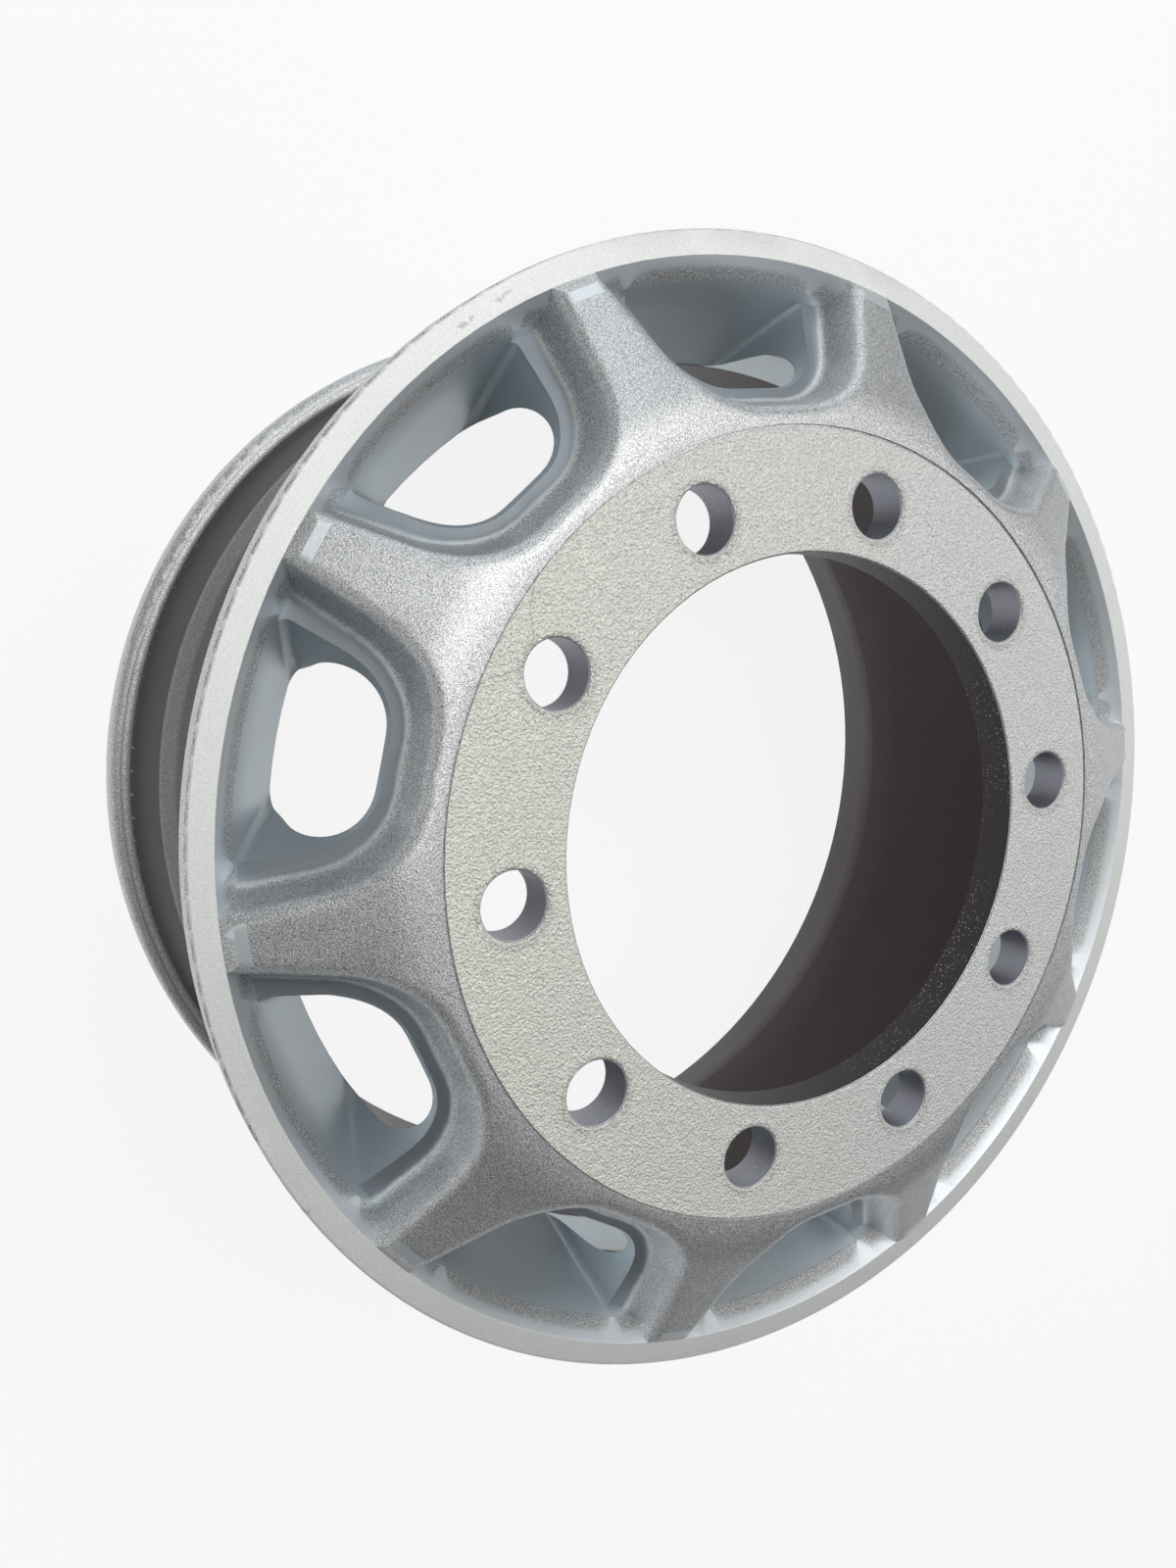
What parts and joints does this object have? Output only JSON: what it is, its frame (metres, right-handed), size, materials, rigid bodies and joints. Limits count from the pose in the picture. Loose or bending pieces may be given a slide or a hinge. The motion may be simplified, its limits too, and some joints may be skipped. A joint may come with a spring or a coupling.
{
  "type": "truck wheel",
  "caption": "Dished alloy disc wheel for a heavy vehicle: wide centre bore, ring of stud holes, keystone windows between short spokes, drop-centre rim.",
  "frame": {"origin": "on the wheel's axis, in the plane of the rear flange that it lies on", "axes": "+Z along the wheel's axis towards the outer disc face, +X through a stud hole"},
  "size_m": [0.5968, 0.5968, 0.304],
  "materials": {
    "painted_alloy": "silver metallic paint"
  },
  "bodies": {
    "root": {"wheel": "painted_alloy"}
  },
  "joints": []
}
